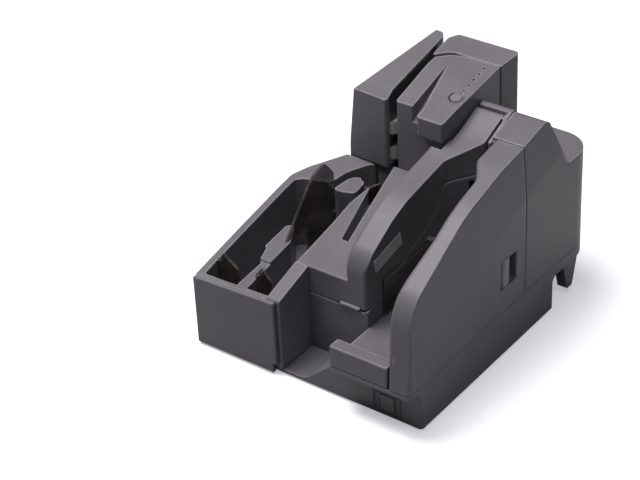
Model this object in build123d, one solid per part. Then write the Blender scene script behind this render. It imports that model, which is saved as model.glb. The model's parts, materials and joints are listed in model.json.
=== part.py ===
from build123d import *
import math
import os

# Cheque scanner, millimetres.  All sizes are given from a datum at the bottom front right corner of the
# base: x runs to the right (the scanner lies at x <= 0), y runs to the rear, z runs up.  The pieces are
# moved to the part's own frame, with its origin under the middle of the whole scanner, when written.

# ---------------------------------------------------------------- driving dimensions
BASE_WIDTH = 192.0          # left wall of the pockets to the right side
RIGHT_REAR_Y = 226.5        # rear wall on the right
TOWER_REAR_Y = 232.4        # rear wall behind the tower
LIP_REACH = 13.7            # how far the feeder's front stands out over the base
SEAM_Z = 35.8               # seam between the base and the housings on it
FLOOR_T = 2.6               # base floor
WALL = 2.2                  # moulded wall
SKIN = 1.6                  # thin inner guides and liners
GAP = 0.3                   # seam between two mouldings
MOVE = 0.4                  # room beside a piece that moves
FOOT_DROP = 1.5             # feet below the base
PIN_FIT = 0.05              # radial room of a pin in its bore

LIP_T = 3.9
LEDGE_LEFT_X = -65.0        # left end of the feeder's ledge
LEDGE_TOP_Z = 53.0
LEDGE_DEPTH = 9.7
TRAY_FLOOR_T = 2.0
COVER_FRONT_T = 18.0        # thickness of the feeder cover at its front
COVER_REAR_T = 25.0         # and at its rear end
COVER_REAR_Y = 131.0
HOUSING_T = 28.0            # thickness of the right rear housing
HOUSING_TOP_Z = 162.2
HOUSING_LOW_Z = 114.4

POCKET_RIGHT_X = -117.3     # outer side of the pockets' right wall
POCKET_WALL = 6.0
POCKET_FLOOR_Z = 19.8
POCKET_FRONT_Z = 57.2       # top of the pockets' front, left end
POCKET_FRONT_RISE = 3.3     # how much higher its right end is
PANEL_T = 3.2
PANEL_FRONT_Y = -4.6

FRONT_Y = 34.2              # face of the middle front
FRONT_SEAM_Z = 49.7         # seam between the centre cover and the frame under it
CENTRE_LEFT_X = -126.4
VALLEY_X = -67.0            # left wall of the feeder valley
RIDGE_LEFT_X = -85.0
DECK_FRONT_Z = 71.5
DECK_SLOPE = 0.17
TOWER_Y = 150.0             # front face of the tower
TOWER_LEFT_X = -121.0       # its wall along the exit slot
TOWER_FRONT_Z = 146.9
TOWER_SLOPE = 0.205
BLOCK_LEFT_X = -97.9
BLOCK_RIGHT_X = -75.9
BLOCK_FRONT_Y = 141.4
BLOCK_BOTTOM_Z = 129.6
GROOVE_LEFT_X = -106.6
GROOVE_REAR_Y = 201.5
GROOVE_DEPTH = 14.0
SLOT_LEFT_X = -130.5        # inner face of the tower side cover
SIDE_COVER_Z = 88.7         # seam under the tower side cover

TURN_X = -80.0              # middle of the paper's U turn
TURN_Y = 179.4
TURN_R_IN = 41.0            # paper side of the inner guide
TURN_R_OUT = 45.0           # paper side of the outer guide
PATH_Z = 36.3               # paper guides and the centre housings stand from here
PATH_TOP_Z = 113.3
PATH_FLOOR_T = 2.4

SHAFT_R = 2.0
ROLLER_R = 9.5
PULLEY_R = 7.5
MOTOR_PULLEY_R = 5.0
BELT_Z = 12.0
BELT_W = 5.0
BELT_T = 1.2
BELT_ROOM = 0.3             # belt to pulley
PLATE_Z = 20.0
PLATE_T = 1.2

HINGE_PIN_R = 1.25
HINGE_BARREL_R = 2.7
RIDGE_RIM_R = 2.5           # rounding along the ridge's left rim
COVER_RIM_R = 2.5           # and along the feeder cover's left rim
SCREW_R = 1.25
SCREW_FIT = 0.12             # radial, screw in its hole
FAR = 400.0                 # reach of a cut that has to pass right through

# base
RAMP_FOOT_X = -99.0
RAMP_TOP_X = -66.0
RAMP_TOP_Z = SEAM_Z - LIP_T
ARCH_Y = 170.0              # front wall of the cable bay
ARCH_TOP = 26.4
ARCH_R = 5.0
CAVITY_LEFT_X = -37.0
LEG_Y = (186.5, 205.0)
LEG_T = 8.0
LEG_FOOT_Z = 4.6
POWER_X = -28.7
POWER_Z = 9.9
POWER_W = 11.8
POWER_H = 13.0
POWER_TRAVEL = 1.5
POWER_RIM = 4.4             # recess round the button
PORTS = {"power": (-28.0, 6.0, 12.0, 5.0), "data": (-11.0, 6.2, 12.0,
                                                    5.8)}     # x, half width, z, half height
FLOOR_SCREWS = [(-112, 62), (-60, 62), (-114, 205), (-92, 214)]
CASE_SCREWS = [(-118, 44), (-60, 44), (-12, 136), (-144, 212)]
CASE_HEAD_Z = 18.0
PATH_FLOOR_Z = PATH_Z - GAP - PATH_FLOOR_T
FEET = [(-12, 14), (-12, 152), (-104, 22), (-60, 216), (-126, 220), (-182, 12), (-180, 100)]
FOOT_R = 6.0
BOSS_R = 5.0
BOSS_TOP_Z = 8.0

# rollers along the paper path
PATH_MID_X = TURN_X + (TURN_R_IN + TURN_R_OUT) / 2
TURN_ROLLER_A = math.radians(50)
TURN_ROLLER_AT = TURN_R_IN + 1.6 - ROLLER_R
EXIT_REACH = 5.0            # how far the exit roller stands out of the tower's wall
FEED_Y = 156.0
EXIT_Y = 162.0
SHAFTS = {"feed": (PATH_MID_X - GAP / 2 - ROLLER_R, FEED_Y),
          "turn": (TURN_X + TURN_ROLLER_AT * math.cos(TURN_ROLLER_A),
                   TURN_Y + TURN_ROLLER_AT * math.sin(TURN_ROLLER_A)),
          "exit": (TOWER_LEFT_X - EXIT_REACH + ROLLER_R, EXIT_Y),
          "motor": (-100.0, 96.0)}
RETARD_AXIS = (PATH_MID_X + GAP / 2 + ROLLER_R, FEED_Y)
COVER_ROLLER_R = 7.6
COVER_ROLLER_AXIS = (TOWER_LEFT_X - EXIT_REACH - MOVE - COVER_ROLLER_R, EXIT_Y)
TYRE_W = 9.9
TYRE_Z = (49.5, 73.3, 97.0, 118.4)
COVER_TYRE_Z = TYRE_Z[2:]   # those in the tower side cover
WINDOW_ROOM = 1.0           # round a tyre in its window
FEED_SHELF_Z = 103.0
RETARD_SHELF_Z = 106.7
SENSOR_Y = (170.0, 179.0)
SENSOR_NOSE = 2.4

# hinges, pivots and panel
COVER_AXIS = (-COVER_FRONT_T + 3.6, -LIP_REACH + 3.6)
SEAM_REAR_Z = 106.7
BRIDGE_Y = 184.8            # front of the bridge behind the centre cover
BRIDGE_REAR_Y = 192.6
BRIDGE_RIGHT_X = -46.0
HOUSING_SEAM = 1.0          # between the feeder cover and the housing behind it
COVER_HINGE_Y = 181.4
COVER_HINGE_Z = 137.9
SIDE_AXIS = (-137.6, 223.6)
SIDE_LUGS = (97.0, 147.5)
LUG_H = 4.0
SIDE_LEAN_TOWER = 0.11
HOPPER_AXIS = (VALLEY_X + 2.1, 109.5)
HOPPER_PIN_R = 0.8
HOPPER_TOP_Z = 68.8
HOPPER_FRONT_Y = 52.0
SPRING_Y = HOPPER_FRONT_Y + 22
GATE_AXIS = (-139.2, 133.4)
LEAF_AXIS = (-150.2, 108.6)
LEAF_PIN_R = 0.9
LEAF_FRONT = (-153.6, 54.5)
TAB_AXES = {"left": (-183.6, 17.0), "right": (-149.4, 17.0)}
SLOT_DEPTH = 14.0
GRIP_Y = (99.0, 119.4)
GRIP_Z = (55.4, 79.2)
GRIP_DEPTH = 6.0
GRIP_BAR_W = 11.6
CREASE_A = (0.0, 35.0, 83.0)            # crease of the right side, from here
CREASE_B = (0.0, COVER_REAR_Y, 114.0)   # to here; above it the side leans in
SIDE_LEAN = 0.07
BUTTON_R = 4.6
LAMP_X = -82.2
LAMP_REAR_Y = 205.8
LAMP_PITCH = 6.75
LAMPS = 5
LAMP_Y0 = LAMP_REAR_Y - (LAMPS - 1) * LAMP_PITCH
BUTTON_AT = (-83.3, LAMP_Y0 - 8.2)
LAMP_R = 1.0
PANEL_TRAVEL = 0.8
PANEL_TILT = math.degrees(math.atan(TOWER_SLOPE))
BOARD_DEPTH = 8.2
BOARD_Y = (BUTTON_AT[1] - 2.3, LAMP_REAR_Y + 2.5)     # panel board, front to rear
PARTS = {}


# ---------------------------------------------------------------- small helpers
def sketch(points):
    """Closed outline in XY from (x, y) or (x, y, corner radius) points."""
    face = make_face(Polyline([(p[0], p[1]) for p in points], close=True))
    for p in points:
        if len(p) == 3:
            corner = face.vertices().sort_by_distance((p[0], p[1], 0))[0]
            face = fillet(corner, p[2])
    return face


def prism_z(points, z0, z1):
    return extrude(Pos(0, 0, z0) * sketch(points), amount=z1 - z0)


def prism_x(points, x0, x1):
    """points are (y, z)."""
    return extrude(Plane.YZ.offset(x0) * sketch(points), amount=x1 - x0)


def prism_y(points, y0, y1):
    """points are (x, z)."""
    return extrude(Plane.XZ.offset(-y0) * sketch(points), amount=-(y1 - y0))


def block(x0, x1, y0, y1, z0, z1):
    return Pos((x0 + x1) / 2, (y0 + y1) / 2, (z0 + z1) / 2) * Box(abs(x1 - x0), abs(y1 - y0), abs(z1 - z0))


def post(x, y, r, z0, z1):
    return Pos(x, y, (z0 + z1) / 2) * Cylinder(r, z1 - z0)


def rod_x(y, z, r, x0, x1):
    return Pos((x0 + x1) / 2, y, z) * Rot(0, 90, 0) * Cylinder(r, x1 - x0)


def rod_y(x, z, r, y0, y1):
    return Pos(x, (y0 + y1) / 2, z) * Rot(90, 0, 0) * Cylinder(r, y1 - y0)


def grown(points, amount):
    """The outline of points, offset outwards (or inwards for a negative amount)."""
    return offset(sketch(points), amount, kind=Kind.INTERSECTION)


def shell_z(points, inset, z0, z1):
    return extrude(Pos(0, 0, z0) * grown(points, -inset), amount=z1 - z0)


def shell_x(points, inset, x0, x1):
    return extrude(Plane.YZ.offset(x0) * grown(points, -inset), amount=x1 - x0)


def lowered(points, drop):
    """An outline's points, each drop lower."""
    return [(p[0], p[1] - drop) + tuple(p[2:]) for p in points]


def at_y(line, y):
    """Where a line between two plan points passes y."""
    (xa, ya), (xb, yb) = line
    return xa + (xb - xa) * (y - ya) / (yb - ya)


def keep(name, shape):
    PARTS[name] = shape


def deck_z(y):
    return DECK_FRONT_Z + DECK_SLOPE * (y - FRONT_Y)


def tower_z(y):
    return TOWER_FRONT_Z + TOWER_SLOPE * (y - TOWER_Y)


# ---------------------------------------------------------------- outlines shared by several pieces
BASE_PLAN = [(0, 0, 3), (0, RIGHT_REAR_Y, 24), (-62, RIGHT_REAR_Y), (-66, TOWER_REAR_Y),
             (-150, TOWER_REAR_Y, 14), (-164, TOWER_Y), (-184, 126), (-191, 113), (-BASE_WIDTH, 0, 2)]
HOUSING_Y = COVER_REAR_Y + HOUSING_SEAM
HOUSING_PLAN = [(-HOUSING_T, HOUSING_Y), (0, HOUSING_Y, 1), (0, RIGHT_REAR_Y, 24),
                (-66.4, RIGHT_REAR_Y), (-71.2, 212.6), (-72.2, 193.4), (-HOUSING_T, 193.4)]
HOUSING_SIDE = [(COVER_REAR_Y, SEAM_Z + GAP), (COVER_REAR_Y, 155.3), (163, HOUSING_TOP_Z, 7),
                (187, HOUSING_LOW_Z, 8),
                (RIGHT_REAR_Y + 1, HOUSING_LOW_Z - 0.4), (RIGHT_REAR_Y + 1, SEAM_Z + GAP)]
COVER_SIDE = [(-LIP_REACH, SEAM_Z + GAP), (-8.3, 101.6, 30), (55, 136.4, 60), (69, 141.5, 60),
              (105, 151.2, 60),
              (COVER_REAR_Y, 155.1), (COVER_REAR_Y, SEAM_Z + GAP)]
COVER_PLAN = [(-COVER_FRONT_T, -LIP_REACH, 3.4), (0, -LIP_REACH, 4), (0, COVER_REAR_Y),
              (-COVER_REAR_T, COVER_REAR_Y),
              (-COVER_REAR_T, 107, 8), (-COVER_FRONT_T + 2.5, 92, 12), (-COVER_FRONT_T + 2.5, 40, 20),
              (-COVER_FRONT_T, 12, 20)]
RIDGE_PLAN = [(RIDGE_LEFT_X, FRONT_Y), (RIDGE_LEFT_X, 138.8), (-74.8, 138.8), (-73.0, 184.2),
              (-50.5, 184.2),
              (-50.5, 156, 5), (VALLEY_X, 130, 8), (VALLEY_X, FRONT_Y, 4)]
RIDGE_SIDE = [(FRONT_Y, 0), (FRONT_Y, 91.5, 20), (66, 109.4, 40), (84, 116.2, 60), (130, 124.3, 80),
              (160, 132.0, 80),
              (184.2, 142.1, 2.4), (184.2, 0)]
SEAM_SIDE = [(FRONT_Y - 2, -1), (FRONT_Y - 2, FRONT_SEAM_Z), (40, 53.9, 4), (90, 74.8, 20), (114, 85.2, 10),
             (120, 90.2, 6), (129, 104.5, 4), (134, 106.7), (190, 106.7), (190, -1)]
DECK_SLOT_LEFT = ((-112.6, 67.4), (-126.9, 124.2))       # edges of the slot in the deck, front to rear
DECK_SLOT_RIGHT = ((-106.8, 67.4), (-123.7, TOWER_Y - 2 * GAP))
DECK_PLAN = [(CENTRE_LEFT_X - 1, FRONT_Y), (-128.4, 80, 40), (-129.8, 102, 20), (*DECK_SLOT_LEFT[1], 0.6),
             DECK_SLOT_LEFT[0], DECK_SLOT_RIGHT[0], DECK_SLOT_RIGHT[1], (-80, TOWER_Y - 2 * GAP),
             (-80, FRONT_Y)]
TOWER_PLAN = [(TOWER_LEFT_X, TOWER_Y, 1.5), (-123.4, 194, 30), (-122.6, 203.4, 4), (-113.6, 209.6, 12),
              (-103, 212.4, 20), (-72.6, 212.4), (BLOCK_RIGHT_X, TOWER_Y)]
CAP_PLAN = [(-126.2, 204.6, 1), (-113.8, 213.4, 12), (-103, 213.0, 20), (-72.2, 213.0),
            (-67.8, TOWER_REAR_Y, 3),
            (-121, TOWER_REAR_Y, 5), (-126.2, 226, 4)]
SIDE_COVER_PLAN = [(-164.0, TOWER_Y - 0.6, 1.5), (-149, 226, 12), (-143.5, 230.2, 5), (-132, 230.2, 5),
                   (SLOT_LEFT_X, 224, 3), (SLOT_LEFT_X, 160, 4), (-127.6, TOWER_Y - 2.6, 2)]
POCKET_PLAN = [(-BASE_WIDTH, -1.0, 1), (-191, 113, 12), (-184, 126, 12), (-166, TOWER_Y - 2 * GAP),
               (CENTRE_LEFT_X - GAP, TOWER_Y - 2 * GAP), (CENTRE_LEFT_X - GAP, -1.0)]
POCKET_CAVITY = [(-186, 2.4, 1.5), (-185.2, 109, 3), (-180, 112.8), (-159, 118, 8), (-154.5, 132.4, 12),
                 (-144.5, 146.4, 14), (-135, 152), (-118, 152), (-118, FRONT_Y), (-128, FRONT_Y - 1.4),
                 (-128, 2.4, 1.5)]


def leaned(shape, foot_a, foot_b, lean, height=130):
    """Cuts shape with a plane through two foot points whose upper part leans inwards by lean per mm."""
    along = Vector(*foot_b) - Vector(*foot_a)
    out = Vector(along.Y, -along.X, 0).normalized()
    plane = Plane(origin=foot_a, x_dir=out, z_dir=-along.normalized())
    wedge = plane * make_face(Polyline([(0, 0), (60, 0), (60, height), (-lean * height, height)],
                                       close=True))
    return shape - extrude(wedge, amount=400, both=True)


# ---------------------------------------------------------------- base


def base_tray():
    full = prism_z(BASE_PLAN, 0, FLOOR_T)
    ring = prism_z(BASE_PLAN, 0, SEAM_Z) - shell_z(BASE_PLAN, WALL, FLOOR_T, SEAM_Z + 1)
    ring -= block(-FAR, CENTRE_LEFT_X + 60, -1, TOWER_Y, FLOOR_T, SEAM_Z + 1)
    ramp = [(RAMP_FOOT_X - 14, 1), (RAMP_FOOT_X - 14, FLOOR_T), (RAMP_FOOT_X, FLOOR_T, 14),
            (RAMP_TOP_X, RAMP_TOP_Z, 8), (-0.05, RAMP_TOP_Z), (-0.05, 1)]
    under = [(RAMP_FOOT_X + 6, FLOOR_T), (RAMP_TOP_X + 1, RAMP_TOP_Z - WALL - 0.6),
             (-WALL, RAMP_TOP_Z - WALL),
             (-WALL, FLOOR_T)]
    front = prism_y(ramp, 0, FRONT_Y - GAP) - prism_y(under, WALL, FRONT_Y)
    front &= prism_z(BASE_PLAN, 0, SEAM_Z)
    cove = [(-LIP_REACH, SEAM_Z, 0.8), (-LIP_REACH, RAMP_TOP_Z, 0.8), (0, RAMP_TOP_Z, 9), (0, 11),
            (WALL, 11),
            (WALL, SEAM_Z)]
    lip = prism_x(cove, LEDGE_LEFT_X, 0)
    lip &= prism_z([(LEDGE_LEFT_X, -LIP_REACH, 1.5), (0, -LIP_REACH, 4), (0, 30), (LEDGE_LEFT_X, 30)], 0,
                   SEAM_Z)
    shelf = block(LEDGE_LEFT_X, -WALL / 2, 0, FRONT_Y - GAP, RAMP_TOP_Z - 0.5, SEAM_Z)
    body = full + ring + front + lip + shelf
    # recess, window and shelf of the power button
    recess = block(POWER_X - POWER_W / 2 - POWER_RIM, POWER_X + POWER_W / 2 + POWER_RIM, -1, 0.9,
                   POWER_Z - POWER_H / 2 - 1.2, POWER_Z + POWER_H / 2 + 1.2)
    window = block(POWER_X - POWER_W / 2 - GAP, POWER_X + POWER_W / 2 + GAP, -1, WALL + 1,
                   POWER_Z - POWER_H / 2 - GAP, POWER_Z + POWER_H / 2 + GAP)
    body -= recess + window
    # cable bay with its arch and the leg behind it
    arch = [(ARCH_Y, -1), (ARCH_Y, ARCH_TOP, ARCH_R), (RIGHT_REAR_Y + 10, ARCH_TOP),
            (RIGHT_REAR_Y + 10, -1)]
    bay = prism_x(arch, CAVITY_LEFT_X, 5)
    roof = block(CAVITY_LEFT_X - WALL, -WALL / 2, ARCH_Y - WALL, RIGHT_REAR_Y - WALL / 2, ARCH_TOP,
                 ARCH_TOP + WALL)
    sides = block(CAVITY_LEFT_X - WALL, CAVITY_LEFT_X, ARCH_Y - WALL, RIGHT_REAR_Y - WALL / 2, 0,
                  ARCH_TOP + WALL)
    back = block(CAVITY_LEFT_X - WALL, -WALL / 2, ARCH_Y - WALL, ARCH_Y, 0, ARCH_TOP + WALL)
    leg_side = [(LEG_Y[0] - 1.5, ARCH_TOP + 1), (LEG_Y[0] + 1.6, 17, 9), (LEG_Y[0] + 4.8, LEG_FOOT_Z, 1.5),
                (LEG_Y[1] - 6.6, LEG_FOOT_Z, 1), (LEG_Y[1], ARCH_TOP + 1)]
    leg = prism_x(leg_side, -LEG_T, 0)
    leg &= prism_z(BASE_PLAN, 0, SEAM_Z)
    body = body - bay + ((roof + sides + back) & prism_z(BASE_PLAN, 0, SEAM_Z)) + leg
    # plug windows in the bay's front wall
    for x, half_w, z, half_h in PORTS.values():
        body -= block(x - half_w - GAP, x + half_w + GAP, ARCH_Y - WALL - 1, ARCH_Y + 1,
                      z - half_h - GAP, z + half_h + GAP)
    for x, y in SHAFTS.values():
        if (x, y) != SHAFTS["motor"]:
            body += post(x, y, BOSS_R, FLOOR_T, BOSS_TOP_Z)
            body -= post(x, y, SHAFT_R + PIN_FIT, FLOOR_T + 1.2, BOSS_TOP_Z + 1)
    for x, y in FLOOR_SCREWS:
        body += post(x, y, 3.4, FLOOR_T, PLATE_Z)
        body -= post(x, y, SCREW_R + SCREW_FIT, PLATE_Z - 7, PLATE_Z + 1)
    for x, y in CASE_SCREWS:
        body += post(x, y, 4.6, FLOOR_T, PATH_FLOOR_Z)
        body -= post(x, y, 3.2, -1, CASE_HEAD_Z) + post(x, y, SCREW_R + SCREW_FIT, 0, PATH_FLOOR_Z + 1)
    body -= post(*COVER_AXIS, HINGE_PIN_R + PIN_FIT, SEAM_Z - 2.8, SEAM_Z + 1)
    keep("base_tray", body)
    screws = []
    for x, y in CASE_SCREWS:
        head = post(x, y, 2.8, CASE_HEAD_Z - 2, CASE_HEAD_Z)
        screws.append(head + post(x, y, SCREW_R, CASE_HEAD_Z - 1, PATH_FLOOR_Z + 1.4))
    keep("case_screws", Compound(children=screws))


def feet():
    pads = [post(x, y, FOOT_R, -FOOT_DROP, 0) for x, y in FEET]
    keep("rubber_feet", Compound(children=pads))


# ---------------------------------------------------------------- power button
def power_button():
    face_y = 0.3
    cap = block(POWER_X - POWER_W / 2, POWER_X + POWER_W / 2, face_y, WALL + 1.4,
                POWER_Z - POWER_H / 2, POWER_Z + POWER_H / 2)
    cap = fillet(cap.faces().sort_by(Axis.Y)[0].edges(), 0.8)
    flange = block(POWER_X - POWER_W / 2 - 1.2, POWER_X + POWER_W / 2 + 1.2, WALL + GAP, WALL + 1.5,
                   POWER_Z - POWER_H / 2, POWER_Z + POWER_H / 2 + 1.2)
    stem = rod_y(POWER_X, POWER_Z, 1.8, WALL + 1, WALL + 4.0)
    keep("power_button", cap + flange + stem)
    y0 = WALL + 4.0 + GAP + POWER_TRAVEL
    body = block(POWER_X - 4, POWER_X + 4, y0, y0 + 5, POWER_Z - 4, POWER_Z + 4)
    board = block(POWER_X - 9, POWER_X + 9, y0 + 5, y0 + 6.6, FLOOR_T + GAP, POWER_Z + 9)
    keep("power_switch", body + board)


# ---------------------------------------------------------------- feeder tray
def feeder_tray():
    z0 = SEAM_Z + GAP
    right = -COVER_FRONT_T - MOVE
    ledge = block(LEDGE_LEFT_X, right, -LIP_REACH, -LIP_REACH + LEDGE_DEPTH, z0, LEDGE_TOP_Z)
    ledge = fillet(ledge.faces().sort_by(Axis.Y)[0].edges().filter_by(Axis.X), 0.8)
    ledge -= block(LEDGE_LEFT_X + WALL, right - WALL, -LIP_REACH + WALL, -LIP_REACH + LEDGE_DEPTH - WALL,
                   z0 - 1, LEDGE_TOP_Z - WALL)
    plan = [(LEDGE_LEFT_X - 1.4, -LIP_REACH + LEDGE_DEPTH - 1), (right, -LIP_REACH + LEDGE_DEPTH - 1),
            (right, 94),
            (-COVER_REAR_T - MOVE, 104), (-COVER_REAR_T - MOVE, COVER_REAR_Y),
            (-HOUSING_T - MOVE, COVER_REAR_Y),
            (-HOUSING_T - MOVE, 141), (-45, 141), (VALLEY_X + MOVE, 126), (VALLEY_X + MOVE, -4)]
    floor = prism_z(plan, z0, z0 + TRAY_FLOOR_T)
    tray = ledge + floor
    tray -= post(*HOPPER_AXIS, HOPPER_PIN_R + PIN_FIT, z0 + 0.4, z0 + 5)
    keep("feeder_tray", tray)


def hopper_plate():
    x, y = HOPPER_AXIS
    z0 = SEAM_Z + GAP + TRAY_FLOOR_T + MOVE
    leaf = block(VALLEY_X + MOVE, VALLEY_X + MOVE + 1.5, HOPPER_FRONT_Y, y, z0, HOPPER_TOP_Z)
    barrel = post(x, y, 1.6, z0, HOPPER_TOP_Z)
    stub = post(x, y, HOPPER_PIN_R, z0 - MOVE - 1.4, HOPPER_TOP_Z + GAP + 2.4)
    keep("hopper_plate", leaf + barrel + stub)


def hopper_spring():
    """Leaf behind the frame's right wall; its nose reaches through a window to the plate."""
    x1 = VALLEY_X - WALL - 0.05
    strip = block(x1 - 0.5, x1, SPRING_Y - 16, SPRING_Y + 16, 50, 56)
    nose = block(x1 - 0.2, VALLEY_X + 0.1, SPRING_Y - 2.5, SPRING_Y + 2.5, 51, 55)
    keep("hopper_spring", strip + nose)


# ---------------------------------------------------------------- centre frame under the centre cover
def centre_frame():
    front = block(CENTRE_LEFT_X, VALLEY_X, FRONT_Y, FRONT_Y + WALL, FLOOR_T + GAP, FRONT_SEAM_Z - GAP)
    left = block(CENTRE_LEFT_X, CENTRE_LEFT_X + WALL, FRONT_Y, 104, PATH_Z, 200)
    left &= prism_x([(FRONT_Y, 0), (FRONT_Y, FRONT_SEAM_Z - GAP),
                     (FRONT_Y + WALL + GAP, FRONT_SEAM_Z - GAP),
                     (FRONT_Y + WALL + GAP, deck_z(FRONT_Y) - WALL - MOVE),
                     (104, deck_z(104) - WALL - MOVE), (104, 0)],
                    -FAR, 0)
    rear = BRIDGE_Y - GAP
    wall_plan = [(VALLEY_X, FRONT_Y), (VALLEY_X, 129.6, 6), (BRIDGE_RIGHT_X - 4.2, 154.6, 3),
                 (BRIDGE_RIGHT_X, 158, 3),
                 (BRIDGE_RIGHT_X, rear), (BRIDGE_RIGHT_X - WALL, rear), (BRIDGE_RIGHT_X - WALL, 159.2),
                 (BRIDGE_RIGHT_X - 5.6, 156.2), (VALLEY_X - WALL, 131), (VALLEY_X - WALL, FRONT_Y)]
    right = prism_z(wall_plan, PATH_Z, SEAM_REAR_Z - GAP)
    right &= prism_x(lowered(SEAM_SIDE, GAP), -FAR, 0)
    frame = front + left + right
    # window of the hopper spring
    frame -= block(VALLEY_X - WALL - 1, VALLEY_X + 1, SPRING_Y - 3, SPRING_Y + 3, 50.5, 55.5)
    # upper lug of the hopper plate
    x, y = HOPPER_AXIS
    lug = block(VALLEY_X - 0.5, x + 2.2, y - 2.2, y + 2.2, HOPPER_TOP_Z + GAP, HOPPER_TOP_Z + GAP + 2.6)
    frame += lug
    frame -= post(x, y, HOPPER_PIN_R + PIN_FIT, HOPPER_TOP_Z, HOPPER_TOP_Z + 5)
    # window and upper bearing of the feed roller
    fx, fy = SHAFTS["feed"]
    frame -= block(fx - ROLLER_R - 1, fx + ROLLER_R, fy - ROLLER_R - 1, fy + ROLLER_R + 1, PATH_Z - 1,
                   FEED_SHELF_Z)
    frame += block(fx - 6, fx + 3.4, fy - 5, fy + 8, FEED_SHELF_Z, SEAM_REAR_Z - GAP)
    frame -= post(fx, fy, SHAFT_R + PIN_FIT, FEED_SHELF_Z - 1, FEED_SHELF_Z + 2)
    keep("centre_frame", frame)


# ---------------------------------------------------------------- centre cover


def ridge():
    """Hollow ridge that the cheques stand against, down to its seam."""
    outer = prism_z(RIDGE_PLAN, 20, 170) & prism_x(RIDGE_SIDE, -FAR, 0)
    left_rim = [e for e in outer.edges().filter_by_position(Axis.X, RIDGE_LEFT_X - 0.1, RIDGE_LEFT_X + 0.1)
                if e.center().Z > 95 and e.center().Y < 138]
    corner = outer.edges().filter_by(Axis.Z).filter_by_position(Axis.Y, FRONT_Y - 0.1, FRONT_Y + 0.1)
    left_rim += corner.filter_by_position(Axis.X, RIDGE_LEFT_X - 0.1, RIDGE_LEFT_X + 0.1)
    outer = fillet(left_rim, RIDGE_RIM_R)
    inner = shell_z(RIDGE_PLAN, WALL, 10, 170) & prism_x(lowered(RIDGE_SIDE, WALL + 0.4), -FAR, 0)
    body = outer - inner - prism_x(SEAM_SIDE, -76.5, 0)
    under = [(FRONT_Y - 1, 0), (FRONT_Y - 1, FRONT_SEAM_Z), (FRONT_Y + WALL, FRONT_SEAM_Z),
             (FRONT_Y + WALL, deck_z(FRONT_Y) - WALL), (TOWER_Y, deck_z(TOWER_Y) - WALL),
             (190, SEAM_REAR_Z), (190, 0)]
    return body - prism_x(under, -FAR, -76.4)


def deck():
    """Sloping top left of the ridge, with the walls and the bottom of its slot."""
    rear = TOWER_Y - 2 * GAP
    band = [(FRONT_Y, deck_z(FRONT_Y) - WALL), (FRONT_Y, deck_z(FRONT_Y), 0.8), (rear, deck_z(rear)),
            (rear, deck_z(rear) - WALL)]
    body = prism_z(DECK_PLAN, 30, 130) & prism_x(band, -FAR, 0)
    body -= shell_z(RIDGE_PLAN, WALL, 10, 170)
    y0, y1, y2 = DECK_SLOT_LEFT[0][1], 119.0, 131.0     # slot's front, its walls' rear end, past them
    well = slot_prism(y0 - SKIN, y1, SKIN)
    well &= prism_x([(y0 - 5, deck_z(y0 - 5) - SLOT_DEPTH), (y0 - 5, deck_z(y0 - 5) - 0.5),
                     (y1, deck_z(y1) - 0.5), (y1, deck_z(y1) - SLOT_DEPTH)], -FAR, 0)
    slot = slot_prism(y0, y2, 0)
    slot &= prism_x([(y0 - 5, deck_z(y0 - 5) - SLOT_DEPTH + SKIN), (y0 - 5, 120), (y2, 120),
                     (y2, deck_z(y2) - SLOT_DEPTH + SKIN)], -FAR, 0)
    return body, well, slot


def slot_prism(y0, y1, wall):
    """Upright block along the deck's slot from y0 to y1, grown sideways by wall."""
    points = [(at_y(DECK_SLOT_LEFT, y) - wall, y) for y in (y1, y0)]
    points += [(at_y(DECK_SLOT_RIGHT, y) + wall, y) for y in (y0, y1)]
    return prism_z(points, 40, 110)


def centre_cover():
    top, well, slot = deck()
    front = block(CENTRE_LEFT_X, RIDGE_LEFT_X + 3, FRONT_Y, FRONT_Y + WALL, FRONT_SEAM_Z,
                  deck_z(FRONT_Y) - 1)
    cover = ridge() + top + front + well - slot
    # finger lip on the front's lower edge
    lip = block(-90.0, -73.6, FRONT_Y - 1.8, FRONT_Y + 0.5, FRONT_SEAM_Z, FRONT_SEAM_Z + 2.4)
    cover += fillet(lip.faces().sort_by(Axis.Y)[0].edges(), 0.8)
    # hinge barrel
    cover += rod_x(COVER_HINGE_Y, COVER_HINGE_Z, HINGE_BARREL_R, -72.0, -51.0)
    cover -= rod_x(COVER_HINGE_Y, COVER_HINGE_Z, HINGE_PIN_R + PIN_FIT, -80, -40)
    # clear of the shoulder and the tower behind it
    cover -= block(-90, -73.0, TOWER_Y - 2 * GAP, 200, 0, 200)
    keep("centre_cover", cover)
    plate_at = Plane(origin=(VALLEY_X + 0.3, 59.4, 86.9), x_dir=(0, 36.0, 7.7), z_dir=(1, 0, 0))
    keep("side_plate", plate_at * Box(33, 10.4, 0.5))


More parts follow.
